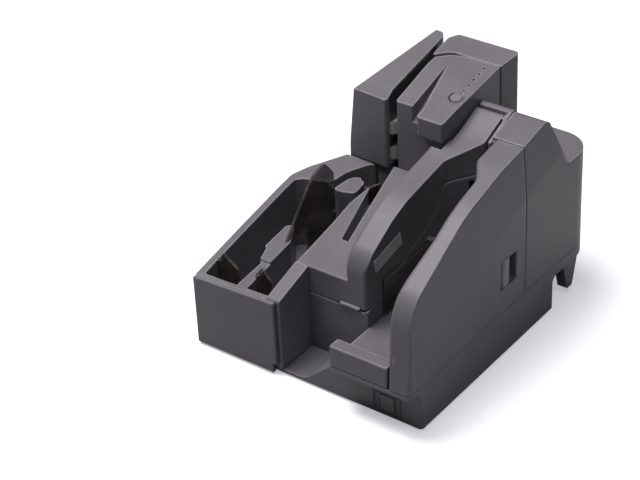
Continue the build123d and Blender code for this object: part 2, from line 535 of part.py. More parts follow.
# ---------------------------------------------------------------- bridge behind the centre cover
def centre_bridge():
    y0, y1 = BRIDGE_Y, BRIDGE_REAR_Y
    left = -71.8
    outer = [(y0, PATH_Z), (y0, 143, 1), (y0 + 4.6, 143.4, 1.5), (y1, 139.7, 1), (y1, PATH_Z)]
    inner = [(y0 + WALL, PATH_Z - 1), (y0 + WALL, 140.4), (y1 - WALL, 137.5), (y1 - WALL, PATH_Z - 1)]
    body = prism_x(outer, left, BRIDGE_RIGHT_X) - prism_x(inner, left + WALL, BRIDGE_RIGHT_X - WALL)
    # slim rim beside the rear of the ridge
    rim = block(BRIDGE_RIGHT_X - WALL, BRIDGE_RIGHT_X, 158, y0 + 1, SEAM_REAR_Z, 200)
    rim &= prism_x([(158, 80), (158, 131.6, 1), (y0 + 1, 143), (y0 + 1, 80)], -FAR, 0)
    ear = block(-50.0, BRIDGE_RIGHT_X - 1, COVER_HINGE_Y - 3, y0 + 1, COVER_HINGE_Z - 3,
                COVER_HINGE_Z + 2.6)
    body = body + rim + ear
    body -= rod_x(COVER_HINGE_Y, COVER_HINGE_Z, HINGE_PIN_R + PIN_FIT, -51, -46.6)
    keep("centre_bridge", body)
    keep("centre_hinge_pin", rod_x(COVER_HINGE_Y, COVER_HINGE_Z, HINGE_PIN_R, -75.4, -46.8))


def turn_well_cover():
    """Closes the inside of the paper's turn between the bridge, the tower and the inner guide."""
    plan = [(-72.2, BRIDGE_REAR_Y + 0.5), (-40, BRIDGE_REAR_Y + 0.5), (-40, 224), (-69.0, 224),
            (-71.2, 212.6)]
    r_out = TURN_R_IN - SKIN - GAP
    outer = prism_z(plan, PATH_Z, PATH_TOP_Z) & post(TURN_X, TURN_Y, r_out, PATH_Z, PATH_TOP_Z)
    inner = shell_z(plan, SKIN, PATH_Z - 1, PATH_TOP_Z - WALL)
    inner &= post(TURN_X, TURN_Y, r_out - SKIN, PATH_Z - 1, PATH_TOP_Z)
    body = outer - inner - roller_windows(SHAFTS["turn"])
    x, y = SHAFTS["turn"]
    body -= post(x, y, SHAFT_R + PIN_FIT, PATH_TOP_Z - WALL - 1, PATH_TOP_Z - 0.8)
    keep("turn_well_cover", body)


# ---------------------------------------------------------------- feeder cover


def feeder_cover():
    outer = prism_x(COVER_SIDE, -60, 5) & prism_z(COVER_PLAN, 20, 190)
    left_rim = [e for e in outer.edges() if e.center().X < -COVER_FRONT_T + 4 and e.center().Z > 95
                and abs((e % 0.5).X) < 0.9 and e.center().Y < COVER_REAR_Y - 1]
    outer = leaned(fillet(left_rim, COVER_RIM_R), CREASE_A, CREASE_B, SIDE_LEAN)
    room = shell_x(COVER_SIDE, WALL + 0.4, -60, -WALL - 2.8)
    room &= prism_z([(p[0] - 4 if p[0] < -1 else p[0], p[1]) for p in COVER_PLAN], 20, 190)
    cover = outer - room
    # grip recess with a rounded bar along its front wall
    cover += block(-GRIP_DEPTH - WALL, -1, GRIP_Y[0] - WALL, GRIP_Y[1] + WALL, GRIP_Z[0] - WALL,
                   GRIP_Z[1] + WALL)
    grip = block(-GRIP_DEPTH, 1, *GRIP_Y, *GRIP_Z)
    cover -= fillet(grip.edges().filter_by(Axis.X), 1.5)
    bar = block(-GRIP_DEPTH - 1, -0.8, GRIP_Y[0] + 1.4, GRIP_Y[0] + 1.4 + GRIP_BAR_W, GRIP_Z[0] + 0.8,
                GRIP_Z[1] - 0.8)
    cover += fillet(bar.faces().sort_by(Axis.X)[-1].edges().filter_by(Axis.Z), 4.2)
    x, y = COVER_AXIS
    # boss round the hinge pin
    cover += block(-COVER_FRONT_T + 0.2, x + 6, y - 2.5, y + 6, SEAM_Z + GAP, 66) & outer
    cover -= post(x, y, HINGE_PIN_R + PIN_FIT, SEAM_Z, 63)
    keep("feeder_cover", cover)
    liner = shell_x(COVER_SIDE, WALL + 0.4 + GAP, -60, 5)
    strip = [(-COVER_FRONT_T + 3.2, 6), (-COVER_FRONT_T + 3.2, 14), (-COVER_FRONT_T + 3.4, 92, 12),
             (-COVER_REAR_T + 0.8, 107, 8), (-COVER_REAR_T + 0.8, COVER_REAR_Y - WALL - GAP)]
    back = [(p[0] + SKIN,) + tuple(p[1:]) for p in reversed(strip)]
    liner &= prism_z(strip + back, SEAM_Z + 1.5, 190)
    keep("feeder_cover_liner", liner)
    keep("feeder_hinge_pin", post(x, y, HINGE_PIN_R, SEAM_Z - 2.6, 62.5))


# ---------------------------------------------------------------- right rear housing


def rear_housing():
    outer = prism_z(HOUSING_PLAN, SEAM_Z + GAP, 190) & prism_x(HOUSING_SIDE, -80, 5)
    outer = leaned(outer, CREASE_A, CREASE_B, SIDE_LEAN)
    side_room = [(p[0], p[1] - (20 if p[1] < 40 else 0)) + tuple(p[2:]) for p in HOUSING_SIDE]
    inner = shell_z(HOUSING_PLAN, WALL, 20, 190) & shell_x(side_room, WALL, -80, -WALL - 2.8)
    body = outer - inner
    # the paper's turn passes inside
    body -= post(TURN_X, TURN_Y, TURN_R_OUT + SKIN + GAP, 0, 130)
    rx, ry = RETARD_AXIS
    body -= block(rx - 4, -HOUSING_T + WALL + 0.1, ry - ROLLER_R - 1, ry + ROLLER_R + 1, SEAM_Z,
                  RETARD_SHELF_Z)
    body += block(-HOUSING_T, rx + 6, ry - 6, ry + 6, RETARD_SHELF_Z, RETARD_SHELF_Z + 3)
    body -= post(rx, ry, SHAFT_R + PIN_FIT, RETARD_SHELF_Z - 1, RETARD_SHELF_Z + 2)
    keep("rear_housing", body)


# ---------------------------------------------------------------- tower


def on_panel(x, y, lift=0.0):
    """Location on the tower's sloping top, z out of it."""
    return Pos(x, y, tower_z(y)) * Rot(PANEL_TILT, 0, 0) * Pos(0, 0, lift)


def tower_top(shape, lower=0.0):
    side = [(100, 0), (100, tower_z(100) - lower), (260, tower_z(260) - lower), (260, 0)]
    return shape & prism_x(side, -FAR, FAR)


def tower_body():
    z0 = PATH_Z
    main = prism_z(TOWER_PLAN, z0, 200)
    room = shell_z(TOWER_PLAN, WALL, z0 - 5, 200)
    nose = prism_z([(BLOCK_LEFT_X, TOWER_Y + 4), (BLOCK_LEFT_X, BLOCK_FRONT_Y, 2),
                    (BLOCK_RIGHT_X, BLOCK_FRONT_Y, 1.5),
                    (BLOCK_RIGHT_X + 0.25, TOWER_Y + 4)], BLOCK_BOTTOM_Z, 200)
    nose_room = block(BLOCK_LEFT_X + WALL, BLOCK_RIGHT_X - WALL, BLOCK_FRONT_Y + WALL, TOWER_Y + 6,
                      BLOCK_BOTTOM_Z + WALL, 200)
    solid = tower_top(main + nose)
    hollow = tower_top(room + nose_room, WALL)
    body = solid - hollow
    # groove beside the key block, deepest at the front
    groove = prism_z([(GROOVE_LEFT_X, TOWER_Y - 1), (GROOVE_LEFT_X - 3, GROOVE_REAR_Y - 0.5),
                      (BLOCK_LEFT_X, TOWER_Y - 1)], 60, 200)
    low = [(TOWER_Y - 2, TOWER_FRONT_Z - GROOVE_DEPTH), (GROOVE_REAR_Y, tower_z(GROOVE_REAR_Y)),
           (GROOVE_REAR_Y + 0.5, 210), (TOWER_Y - 2, 210)]
    lining = grown_prism(groove, WALL) & prism_x(lowered(low, WALL), -FAR, FAR) & solid
    body = body + lining - (groove & prism_x(low, -FAR, FAR))
    body -= on_panel(*BUTTON_AT) * Cylinder(BUTTON_R + GAP, 10)
    for i in range(LAMPS):
        body -= on_panel(LAMP_X, LAMP_Y0 + i * LAMP_PITCH) * Cylinder(LAMP_R + 0.05, 12)
    # windows for the exit roller's tyres, and the seat of the centre cover's pin
    ex, ey = SHAFTS["exit"]
    for z in TYRE_Z:
        body -= block(TOWER_LEFT_X - 3, TOWER_LEFT_X + 4, ey - ROLLER_R - WINDOW_ROOM,
                      ey + ROLLER_R + WINDOW_ROOM,
                      z - TYRE_W / 2 - WINDOW_ROOM, z + TYRE_W / 2 + WINDOW_ROOM)
    body -= post(ex, ey, SHAFT_R + PIN_FIT, 125, tower_z(ey) - 1.3)
    body -= rod_x(COVER_HINGE_Y, COVER_HINGE_Z, HINGE_PIN_R + PIN_FIT, -75.6, -70)
    # stand-offs of the panel board
    for x, y in ((-89, BOARD_Y[0] + 8.7), (-89, BOARD_Y[1] - 2.3)):
        body += on_panel(x, y, -1.5) * Cylinder(1.8, BOARD_DEPTH - 1.5,
                                                align=(Align.CENTER, Align.CENTER, Align.MAX))
    keep("tower_body", body)


def grown_prism(shape, amount):
    box = shape.bounding_box()
    return block(box.min.X - amount, box.max.X + amount, box.min.Y - 0.5, box.max.Y + amount, box.min.Z,
                 box.max.Z)


def tower_rear_cap():
    outer = tower_top(prism_z(CAP_PLAN, SEAM_Z + GAP, 200))
    inner = tower_top(shell_z(CAP_PLAN, WALL, 20, 200), WALL)
    body = outer - inner
    body -= (post(TURN_X, TURN_Y, TURN_R_OUT + SKIN + GAP, 20, PATH_TOP_Z + 1)
             - post(TURN_X, TURN_Y, TURN_R_IN - SKIN - GAP, 10, 150))
    x, y = SIDE_AXIS
    for z in SIDE_LUGS:
        lug = block(x, -124.5, y - 2.4, y + 2.4, z, z + LUG_H) + post(x, y, 2.4, z, z + LUG_H)
        body = body + lug - post(x, y, HINGE_PIN_R + PIN_FIT, z - 1, z + LUG_H + 1)
    keep("tower_rear_cap", body)


def tower_side_cover():
    outer = tower_top(prism_z(SIDE_COVER_PLAN, SIDE_COVER_Z + GAP, 200))
    outer = leaned(outer, (-149, 226, SIDE_COVER_Z), (-164.0, TOWER_Y, SIDE_COVER_Z), SIDE_LEAN_TOWER)
    room = [(-161.4, TOWER_Y + 2), (-146.4, 224), (-143, 227.6, 3), (-134, 227.6, 2), (-132.6, 224),
            (-132.6, 216),
            (SLOT_LEFT_X + 5, 216), (SLOT_LEFT_X + 5, TOWER_Y + 2)]
    inner = tower_top(prism_z(room, SIDE_COVER_Z + GAP + WALL, 200), WALL)
    inner = leaned(inner, (-146.4, 226, SIDE_COVER_Z), (-161.4, TOWER_Y, SIDE_COVER_Z), SIDE_LEAN_TOWER)
    cover = outer - inner
    x, y = SIDE_AXIS
    for z in SIDE_LUGS:
        cover -= block(x - 3, -120, y - 3.2, y + 8, z - MOVE, z + LUG_H + MOVE)
        cover -= post(x, y, 3.2, z - MOVE, z + LUG_H + MOVE)
        for z_boss in (z - MOVE - LUG_H, z + LUG_H + MOVE):
            cover += post(x, y, 3.0, z_boss, z_boss + LUG_H) & outer
            cover += block(x - 12, x, y - 1.2, y + 1.2, z_boss, z_boss + LUG_H) & outer
    cover -= post(x, y, HINGE_PIN_R + PIN_FIT, SIDE_COVER_Z, 157.2)
    rx, ry = COVER_ROLLER_AXIS
    cover -= post(rx, ry, 1.5 + PIN_FIT, SIDE_COVER_Z + 1.4, tower_z(ry) - 1.3)
    keep("tower_side_cover", cover)
    keep("side_hinge_pin", post(x, y, HINGE_PIN_R, SIDE_COVER_Z - 3, 156.8))
    sheet = block(SLOT_LEFT_X - SKIN, SLOT_LEFT_X, TOWER_Y + 2.6, 215.6, SIDE_COVER_Z + GAP + WALL + GAP,
                  200)
    liner = tower_top(sheet, WALL + GAP)
    for z in COVER_TYRE_Z:
        liner -= block(SLOT_LEFT_X - 3, SLOT_LEFT_X + 1, ry - COVER_ROLLER_R - WINDOW_ROOM,
                       ry + COVER_ROLLER_R + WINDOW_ROOM, z - TYRE_W / 2 - WINDOW_ROOM,
                       z + TYRE_W / 2 + WINDOW_ROOM)
    keep("side_cover_liner", liner)


def side_cover_rollers():
    x, y = COVER_ROLLER_AXIS
    body = post(x, y, 1.5, SIDE_COVER_Z + 1.7, tower_z(y) - 1.5)
    for z in COVER_TYRE_Z:
        body += post(x, y, COVER_ROLLER_R, z - TYRE_W / 2, z + TYRE_W / 2)
    keep("side_cover_rollers", body)


def left_rear_housing():
    plan = [(-163.8, TOWER_Y + GAP), (-150, TOWER_REAR_Y, 14), (-127, TOWER_REAR_Y), (-127, 222),
            (SLOT_LEFT_X, 218),
            (SLOT_LEFT_X, TOWER_Y + GAP)]
    body = prism_z(plan, SEAM_Z + GAP, SIDE_COVER_Z) - shell_z(plan, WALL, 20, SIDE_COVER_Z - WALL)
    x, y = SIDE_AXIS
    body += post(x, y, 3.4, SIDE_COVER_Z - 6, SIDE_COVER_Z)
    body -= post(x, y, HINGE_PIN_R, SIDE_COVER_Z - 3.2, SIDE_COVER_Z + 1)
    keep("left_rear_housing", body)


def panel_button():
    cap = Cylinder(BUTTON_R, 3.6, align=(Align.CENTER, Align.CENTER, Align.MAX))
    cap = fillet(cap.faces().sort_by(Axis.Z)[-1].edges(), 0.5)
    flange = Pos(0, 0, -WALL - 0.9) * Cylinder(BUTTON_R + 1.2, 1.2,
                                               align=(Align.CENTER, Align.CENTER, Align.MAX))
    stem = Pos(0, 0, -3.4) * Cylinder(1.5, 3.0, align=(Align.CENTER, Align.CENTER, Align.MAX))
    keep("panel_button", on_panel(*BUTTON_AT, 0.35) * (cap + flange + stem))
    y_mid = (BOARD_Y[0] + BOARD_Y[1]) / 2
    board = on_panel(-85, y_mid, -BOARD_DEPTH - 0.8) * Box(12, BOARD_Y[1] - BOARD_Y[0], 1.6)
    switch = on_panel(*BUTTON_AT, -BOARD_DEPTH) * Box(6, 6, 2.1)
    keep("panel_board", board + switch)
    pipes = []
    for i in range(LAMPS):
        at = on_panel(LAMP_X, LAMP_Y0 + i * LAMP_PITCH, -0.3)
        pipes.append(at * Cylinder(LAMP_R, 7.8, align=(Align.CENTER, Align.CENTER, Align.MAX)))
    keep("lamp_pipes", Compound(children=pipes))


# ---------------------------------------------------------------- pockets
def pocket_body():
    z0 = FLOOR_T + GAP
    left = [(-1, z0), (-1, POCKET_FRONT_Z), (51, 68.8, 60), (95, 78.1, 60), (115, 81.6, 40),
            (TOWER_Y, 88.2),
            (TOWER_Y, z0)]
    body = prism_z(POCKET_PLAN, z0, 120) & prism_x(left, -FAR, 0)
    body -= prism_z(POCKET_CAVITY, POCKET_FLOOR_Z + WALL, 120)
    # open below the pocket floor
    body -= shell_z(POCKET_PLAN, WALL, 0, POCKET_FLOOR_Z)
    body -= block(-140, -100, FRONT_Y - 0.6, 200, POCKET_FLOOR_Z + WALL, 120) & prism_z(POCKET_CAVITY, 0,
                                                                                        120)
    right_side = [(-1, z0), (-1, 61, 1.5), (FRONT_Y - GAP, 71.7), (FRONT_Y - GAP, z0)]
    hollow = [(2, 0), (2, 52.8), (FRONT_Y - 3, 61.6), (FRONT_Y - 3, 0)]
    wall = prism_x(right_side, -128, POCKET_RIGHT_X) - prism_x(hollow, -128 + WALL, POCKET_RIGHT_X - WALL)
    front = prism_y([(-190, z0), (-190, POCKET_FRONT_Z), (-120, 60.7), (-120, z0)], -1, 2.4)
    body = body - block(-128, -100, -5, FRONT_Y, 20, 200) + wall + front
    for x, y in (LEAF_AXIS, GATE_AXIS, *TAB_AXES.values()):
        body -= post(x, y, LEAF_PIN_R + PIN_FIT, POCKET_FLOOR_Z + 0.4, 60)
    keep("pocket_body", body)


def pocket_front_panel():
    left, right = -BASE_WIDTH, POCKET_RIGHT_X - 3.0
    face = [(left, 0, 1.5), (left, POCKET_FRONT_Z, 1.5), (right, POCKET_FRONT_Z + POCKET_FRONT_RISE, 1.5),
            (right, 8), (right - 3, 8), (right - 3, 0)]
    panel = prism_y(face, PANEL_FRONT_Y, PANEL_FRONT_Y + PANEL_T)
    panel = fillet(panel.faces().sort_by(Axis.Y)[0].edges(), 0.9)
    keep("pocket_front_panel", panel)


def pocket_divider():
    z0 = POCKET_FLOOR_Z + WALL + 0.02
    plan = [(-160.6, 2.4 + GAP), (-152, 2.4 + GAP), (-154.8, 62, 3), (-164, 81, 4), (-169.4, 76, 3),
            (-168.4, 50, 1), (-166.2, 48.5, 1), (-162.2, 35.5, 1), (-160.8, 35.5)]
    side = [(0, z0), (0, 54.4), (36.5, 57.8), (36.5, 59.8, 0.8), (90, 64.7), (90, z0)]
    keep("pocket_divider", prism_z(plan, 10, 90) & prism_x(side, -FAR, 0))


def guide_island():
    z0 = POCKET_FLOOR_Z + WALL + 0.02
    plan = [(-152.4, 112.5, 2), (-149.8, 129, 8), (-143.5, 134.4, 5), (-136.6, 130, 6), (-135.2, 116, 4),
            (-143.6, 113, 4)]
    top = [(105, z0), (105, 81), (140, 84), (140, z0)]
    body = prism_z(plan, 10, 90) & prism_x(top, -FAR, 0)
    body -= post(*GATE_AXIS, 2.6, 10, 90)
    keep("guide_island", body)


def path_gate():
    z0 = POCKET_FLOOR_Z + WALL + GAP
    x, y = GATE_AXIS
    body = post(x, y, 2.0, z0, 76.0) + post(x, y, LEAF_PIN_R, z0 - 1.9, z0 + 2)
    body += prism_z([(x - 1.6, y), (x + 1.6, y + 0.5), (x + 5.6, y + 12.5), (x + 4.8, y + 12.8)], z0 + 1,
                    75.0)
    keep("path_gate", body)


def stacker_leaf():
    ax, ay = LEAF_AXIS
    fx, fy = LEAF_FRONT
    length = math.hypot(ax - fx, ay - fy)
    plane = Plane(origin=(fx, fy, 0), x_dir=(ax - fx, ay - fy, 0), z_dir=(ay - fy, fx - ax, 0))
    z_low = POCKET_FLOOR_Z + WALL + GAP
    face = [(0, 66.2, 0.8), (33, 106.6, 6), (46, 110.8, 4), (length + 1.2, 98.6, 2), (length + 1.2, 88),
            (length, z_low),
            (24, z_low, 2), (24, 66.2)]
    leaf = extrude(plane * sketch(face), amount=0.8, both=True)
    body = leaf + post(ax, ay, 1.8, z_low, 66) + post(ax, ay, LEAF_PIN_R, z_low - 1.9, 55)
    keep("stacker_leaf", body)


def stack_tabs():
    z0 = POCKET_FLOOR_Z + WALL + GAP
    reach = {"left": 17.0, "right": 12.0}
    for name, (x, y) in TAB_AXES.items():
        r = reach[name]
        outline = [(x, z0), (x, 62.7), (x + 3.0, 68.6, 1), (x + 5.2, 68.4, 1), (x + 7, 66.2, 1), (x + r, 60, 3),
                   (x + r, z0)]
        blade = prism_y(outline, y - 0.7, y + 0.7)
        pin = post(x, y, LEAF_PIN_R, z0 - 1.9, z0 + 2)
        keep(name + "_stack_tab", blade + post(x, y, 1.7, z0, 62.7) + pin)


# ---------------------------------------------------------------- paper guides
def ring_sector(r_in, r_out, a0, a1, z0, z1):
    """Part of a ring about the middle of the U turn; angles in degrees from +x."""
    steps = [(TURN_X + 90 * math.cos(math.radians(a)), TURN_Y + 90 * math.sin(math.radians(a)))
             for a in (a0, a0 + (a1 - a0) / 3, a0 + 2 * (a1 - a0) / 3, a1)]
    ring = post(TURN_X, TURN_Y, r_out, z0, z1) - post(TURN_X, TURN_Y, r_in, z0 - 1, z1 + 1)
    return ring & prism_z([(TURN_X, TURN_Y)] + steps, z0, z1)


def roller_windows(axis):
    """Windows for the three tyres of the roller on axis."""
    windows = [post(*axis, ROLLER_R + 0.6, z - TYRE_W / 2 - WINDOW_ROOM, z + TYRE_W / 2 + WINDOW_ROOM)
               for z in TYRE_Z[:3]]
    return windows[0] + windows[1] + windows[2]


def paper_guides():
    r_in, r_out = TURN_R_IN, TURN_R_OUT
    inner_x, outer_x = TURN_X + r_in, TURN_X + r_out
    window = block(inner_x - 5, outer_x + 5, SENSOR_Y[0] + SENSOR_NOSE - GAP,
                   SENSOR_Y[1] - SENSOR_NOSE + GAP,
                   PATH_Z + 3, PATH_TOP_Z - 9)
    inner = ring_sector(r_in - SKIN, r_in, 0, 120, PATH_Z, PATH_TOP_Z)
    inner += block(inner_x - SKIN, inner_x, 160, TURN_Y + 0.5, PATH_Z, PATH_TOP_Z)
    keep("inner_paper_guide", inner - window - roller_windows(SHAFTS["turn"]) - roller_windows(SHAFTS["feed"]))
    outer = ring_sector(r_out, r_out + SKIN, 0, 118, PATH_Z, PATH_TOP_Z)
    outer += block(outer_x, outer_x + SKIN, 148, TURN_Y + 0.5, PATH_Z, PATH_TOP_Z)
    keep("outer_paper_guide", outer - window - roller_windows(RETARD_AXIS))


def transport_floor():
    """Floor that the paper runs on, above the drive."""
    z0, z1 = PATH_FLOOR_Z, PATH_Z - GAP
    body = shell_z(BASE_PLAN, WALL + GAP, z0, z1)
    body -= block(-FAR, CENTRE_LEFT_X + WALL + GAP, -10, TOWER_Y + 2, z0 - 1, z1 + 1)
    body -= block(-FAR, 10, -10, FRONT_Y + WALL + GAP, z0 - 1, z1 + 1)
    for name, (x, y) in SHAFTS.items():
        body -= post(x, y, 12.4 if name == "motor" else SHAFT_R + 0.6, z0 - 1, z1 + 1)
    for x, y in CASE_SCREWS:
        body -= post(x, y, SCREW_R + SCREW_FIT, z0 - 1, z0 + 1.6)
    body -= post(*RETARD_AXIS, SHAFT_R + PIN_FIT, z0 + 0.6, z1 + 1)
    keep("transport_floor", body)


# ---------------------------------------------------------------- drive
def roller(name, top_z, tyre_count):
    x, y = SHAFTS[name]
    shaft = post(x, y, SHAFT_R, FLOOR_T + 1.6, top_z)
    shaft += post(x, y, PULLEY_R, BELT_Z, BELT_Z + BELT_W)
    for z in (BELT_Z - 1.2, BELT_Z + BELT_W):
        shaft += post(x, y, PULLEY_R + 1.4, z, z + 1.2)
    keep(name + "_roller_shaft", shaft)
    tyres = []
    for z in TYRE_Z[:tyre_count]:
        tyre = post(x, y, ROLLER_R, z - TYRE_W / 2, z + TYRE_W / 2)
        tyres.append(tyre - post(x, y, SHAFT_R, z - TYRE_W, z + TYRE_W))
    keep(name + "_roller_tyres", Compound(children=tyres))


def motor():
    x, y = SHAFTS["motor"]
    z_can = PLATE_Z + PLATE_T + 0.05
    can = post(x, y, 11.5, z_can, 48)
    can = fillet(can.faces().sort_by(Axis.Z)[-1].edges(), 1.5)
    can -= post(x, y, 1.5 + PIN_FIT, z_can - 1, z_can + 9)
    keep("feed_motor", can)
    rotor = post(x, y, 1.5, BELT_Z - 3, z_can + 7) + post(x, y, MOTOR_PULLEY_R, BELT_Z, BELT_Z + BELT_W)
    for z in (BELT_Z - 1.2, BELT_Z + BELT_W):
        rotor += post(x, y, MOTOR_PULLEY_R + 1.4, z, z + 1.2)
    keep("motor_pulley", rotor)


def belt_loop(extra, z0, z1):
    """Solid filling the belt's loop, grown by extra outside the pulleys."""
    loop = None
    pulleys = [(SHAFTS[n], MOTOR_PULLEY_R if n == "motor" else PULLEY_R) for n in ("motor", "feed", "turn",
                                                                                   "exit")]
    for i, ((xa, ya), ra) in enumerate(pulleys):
        (xb, yb), rb = pulleys[(i + 1) % len(pulleys)]
        ra, rb = ra + extra, rb + extra
        d = math.hypot(xb - xa, yb - ya)
        heading = math.atan2(yb - ya, xb - xa)
        normal = heading - math.pi / 2 - math.asin((rb - ra) / d)
        nx, ny = math.cos(normal), math.sin(normal)
        quad = prism_z([(xa, ya), (xa + ra * nx, ya + ra * ny), (xb + rb * nx, yb + rb * ny), (xb, yb)],
                       z0, z1)
        piece = quad + post(xa, ya, ra, z0, z1)
        loop = piece if loop is None else loop + piece
    middle = prism_z([SHAFTS["motor"], SHAFTS["feed"], SHAFTS["turn"], SHAFTS["exit"]], z0, z1)
    return loop + middle


def drive_belt():
    z0, z1 = BELT_Z + 0.3, BELT_Z + BELT_W - 0.3
    outer = belt_loop(BELT_ROOM + BELT_T, z0, z1)
    inner = belt_loop(BELT_ROOM, z0 - 1, z1 + 1)
    keep("drive_belt", outer - inner)


def chassis_plate():
    plan = [(-122, 56, 3), (-122, 214, 3), (-92, 226, 3), (-68, 226, 3), (-41.5, 212, 3), (-41.5, 56, 3)]
    plate = prism_z(plan, PLATE_Z, PLATE_Z + PLATE_T)
    for name, (x, y) in SHAFTS.items():
        plate -= post(x, y, 4.0 if name == "motor" else SHAFT_R + PIN_FIT, PLATE_Z - 1, PLATE_Z + 3)
    for x, y in FLOOR_SCREWS:
        plate -= post(x, y, SCREW_R + SCREW_FIT, PLATE_Z - 1, PLATE_Z + 3)
    keep("chassis_plate", plate)
    screws = []
    for x, y in FLOOR_SCREWS:
        head = post(x, y, 2.6, PLATE_Z + PLATE_T, PLATE_Z + PLATE_T + 1.8)
        screws.append(head + post(x, y, SCREW_R, PLATE_Z - 6, PLATE_Z + PLATE_T + 0.5))
    keep("chassis_screws", Compound(children=screws))


def retard_roller():
    x, y = RETARD_AXIS
    body = post(x, y, SHAFT_R, PATH_FLOOR_Z + 0.9, RETARD_SHELF_Z + 1.7)
    for z in TYRE_Z[:3]:
        body += post(x, y, ROLLER_R, z - TYRE_W / 2, z + TYRE_W / 2)
    keep("retard_roller", body)


# ---------------------------------------------------------------- electronics and print parts
def electronics():
    z_bus = ARCH_TOP + WALL
    board = block(-36, -6, 172, 205, z_bus + 0.02, z_bus + 1.62)
    keep("interface_board", board)
    main = block(-54, -8, 52, 128, FLOOR_T + 5.0, FLOOR_T + 6.6)
    chips = block(-48, -34, 66, 80, FLOOR_T + 6.5, FLOOR_T + 8.2)
    chips += block(-26, -14, 92, 104, FLOOR_T + 6.5, FLOOR_T + 8.8)
    studs = [post(x, y, 2.2, FLOOR_T + 0.02, FLOOR_T + 5.5) for x in (-51, -12) for y in (56, 124)]
    main = main + chips
    for stud in studs:
        main += stud
    keep("main_board", main)
    for name, (x, half_w, z, half_h) in PORTS.items():
        shell = block(x - half_w, x + half_w, ARCH_Y - WALL - 9, ARCH_Y, z - half_h, z + half_h)
        if name == "power":
            shell -= rod_y(x, z, 3.2, ARCH_Y - 9, ARCH_Y + 1)
            shell += rod_y(x, z, 1.0, ARCH_Y - 9.5, ARCH_Y - 1)
        else:
            shell -= block(x - 4.2, x + 4.2, ARCH_Y - 8, ARCH_Y + 1, z - 4.0, z + 4.0)
            shell += block(x - 2.8, x + 2.8, ARCH_Y - 9, ARCH_Y - 1.5, z - 1.6, z + 1.6)
        keep(name + "_port", shell)


def sensors():
    y0, y1 = SENSOR_Y
    nose = [(y0 + SENSOR_NOSE, PATH_Z + 3 + GAP), (y1 - SENSOR_NOSE, PATH_TOP_Z - 9 - GAP)]
    inner_x, outer_x = TURN_X + TURN_R_IN, TURN_X + TURN_R_OUT
    back = block(BRIDGE_RIGHT_X + GAP, inner_x - SKIN - GAP, y0, y1, PATH_Z, PATH_TOP_Z - 6)
    back += block(inner_x - SKIN - 1, inner_x - 0.2, nose[0][0], nose[1][0], nose[0][1], nose[1][1])
    keep("back_image_sensor", back)
    front = block(outer_x + SKIN + GAP, -HOUSING_T - GAP, y0, y1, PATH_Z, PATH_TOP_Z - 6)
    front += block(outer_x + 0.2, outer_x + SKIN + 1, nose[0][0], nose[1][0], nose[0][1], nose[1][1])
    keep("front_image_sensor", front)
    head = block(TOWER_LEFT_X + WALL + GAP, TOWER_LEFT_X + 13, 176, 187, PATH_Z, PATH_Z + 26)
    head = fillet(head.edges().filter_by(Axis.Z), 1.5)
    keep("magnetic_head", head)


def ink_parts():
    x0, x1 = -103.0, -88.0
    y0, y1 = 112.0, 146.0
    z0 = PATH_Z
    tray = block(x0 - 2, x1 + 2, y0 - 2, y1 + 1.4, z0, z0 + 16)
    tray -= block(x0 - GAP, x1 + GAP, y0 - GAP, y1 + 0.2, z0 + 1.8, z0 + 20)
    keep("ink_cradle", tray)
    body = block(x0, x1, y0, y1, z0 + 2.0, z0 + 40)
    body = fillet(body.edges().filter_by(Axis.Z), 1.2)
    body += block(x0 + 3, x1 - 3, y0 + 4, y0 + 12, z0 + 39, z0 + 42)
    keep("ink_cartridge", body)


# ---------------------------------------------------------------- build and write
def build():
    base_tray()
    feet()
    power_button()
    feeder_tray()
    hopper_plate()
    hopper_spring()
    centre_frame()
    centre_cover()
    centre_bridge()
    turn_well_cover()
    feeder_cover()
    rear_housing()
    tower_body()
    tower_rear_cap()
    tower_side_cover()
    side_cover_rollers()
    left_rear_housing()
    panel_button()
    pocket_body()
    pocket_front_panel()
    pocket_divider()
    guide_island()
    path_gate()
    stacker_leaf()
    stack_tabs()
    paper_guides()
    transport_floor()
    roller("feed", FEED_SHELF_Z + 1.7, 3)
    roller("turn", PATH_TOP_Z - 1.1, 3)
    roller("exit", tower_z(SHAFTS["exit"][1]) - 1.6, 4)
    motor()
    drive_belt()
    chassis_plate()
    retard_roller()
    electronics()
    sensors()
    ink_parts()


FRAME = Pos(BASE_WIDTH / 2, (LIP_REACH - TOWER_REAR_Y) / 2, FOOT_DROP)

if __name__ == "__main__":
    build()
    os.makedirs("parts", exist_ok=True)
    for name, shape in PARTS.items():
        solids = [FRAME * solid for solid in shape.solids()]
        export_step(solids[0] if len(solids) == 1 else Compound(solids), "parts/" + name + ".step")
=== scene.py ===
"""A cheque scanner in dark grey moulded plastic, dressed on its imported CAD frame.

Lengths are metres, in the frame's own axes: x to the right, y to the rear, z up, the floor at z = 0.
"""
import json
import math

import bpy
from mathutils import Matrix, Vector


